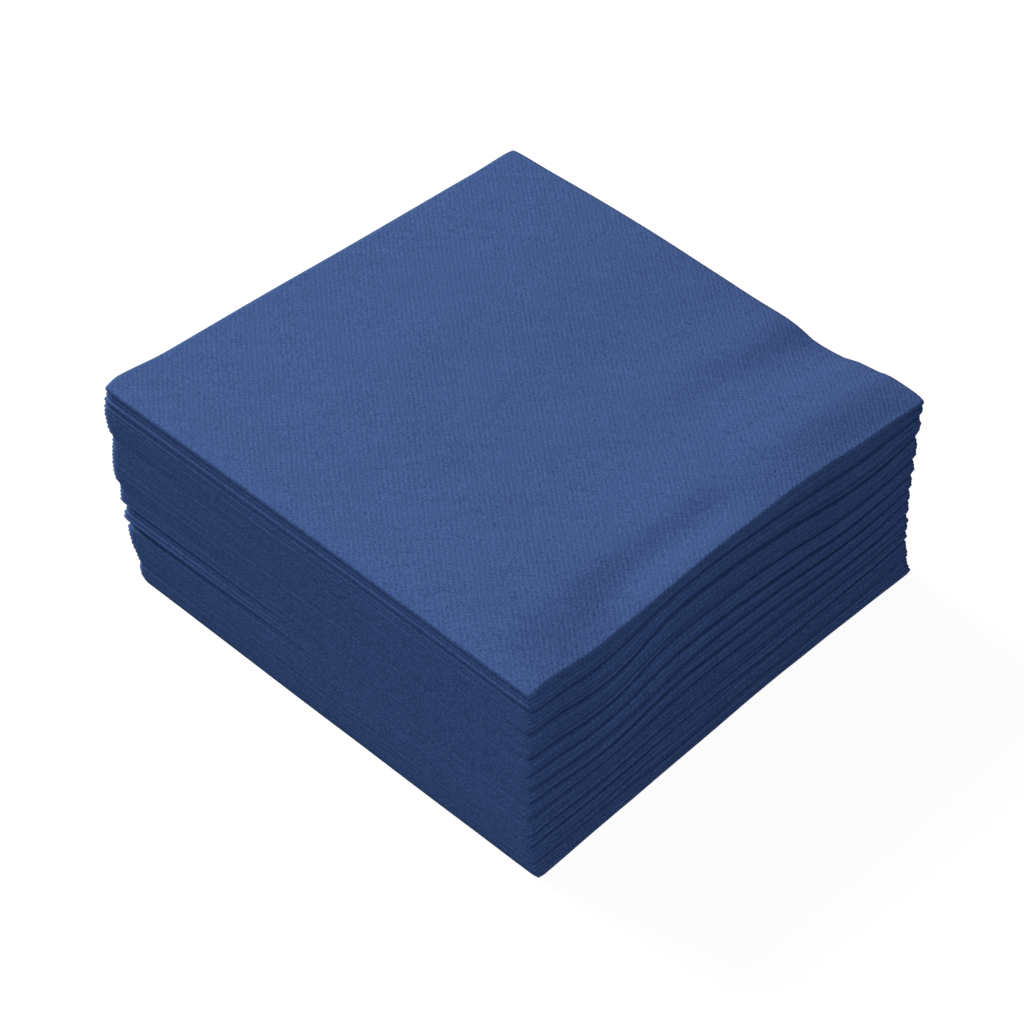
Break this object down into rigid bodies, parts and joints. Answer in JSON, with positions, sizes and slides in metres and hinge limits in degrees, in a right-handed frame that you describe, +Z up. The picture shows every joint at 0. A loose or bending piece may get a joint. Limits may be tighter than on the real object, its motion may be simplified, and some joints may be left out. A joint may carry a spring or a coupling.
{
  "type": "stack of paper napkins",
  "caption": "Squared-up stack of soft folded paper napkins in dark blue, with thick rounded folds on the right side and fine layered folds at the front.",
  "frame": {"origin": "middle of the stack's footprint, on the underside of the lowest napkin", "axes": "+Z up through the stack; +X towards the outer folds, one thick rounded fold to each napkin; -Y towards the first folds; the open corner of each napkin is at -X +Y"},
  "size_m": [0.2032, 0.202, 0.0922],
  "materials": {
    "napkin_paper": "matt embossed soft paper"
  },
  "bodies": {
    "root": {"napkin_01": "napkin_paper", "napkin_02": "napkin_paper", "napkin_03": "napkin_paper", "napkin_04": "napkin_paper", "napkin_05": "napkin_paper", "napkin_06": "napkin_paper", "napkin_07": "napkin_paper", "napkin_08": "napkin_paper", "napkin_09": "napkin_paper", "napkin_10": "napkin_paper", "napkin_11": "napkin_paper", "napkin_12": "napkin_paper", "napkin_13": "napkin_paper", "napkin_14": "napkin_paper", "napkin_15": "napkin_paper", "napkin_16": "napkin_paper", "napkin_17": "napkin_paper", "napkin_18": "napkin_paper", "napkin_19": "napkin_paper", "napkin_20": "napkin_paper", "napkin_21": "napkin_paper", "napkin_22": "napkin_paper", "napkin_23": "napkin_paper", "napkin_24": "napkin_paper", "napkin_25": "napkin_paper", "napkin_26": "napkin_paper", "napkin_27": "napkin_paper", "napkin_28": "napkin_paper", "napkin_29": "napkin_paper", "napkin_30": "napkin_paper", "napkin_31": "napkin_paper", "napkin_32": "napkin_paper", "napkin_33": "napkin_paper", "napkin_34": "napkin_paper", "napkin_35": "napkin_paper", "napkin_36": "napkin_paper", "napkin_37": "napkin_paper", "napkin_38": "napkin_paper", "napkin_39": "napkin_paper", "napkin_40": "napkin_paper", "napkin_41": "napkin_paper", "napkin_42": "napkin_paper", "napkin_43": "napkin_paper", "napkin_44": "napkin_paper", "napkin_45": "napkin_paper", "napkin_46": "napkin_paper", "napkin_47": "napkin_paper", "napkin_48": "napkin_paper", "napkin_49": "napkin_paper", "napkin_50": "napkin_paper"}
  },
  "joints": []
}
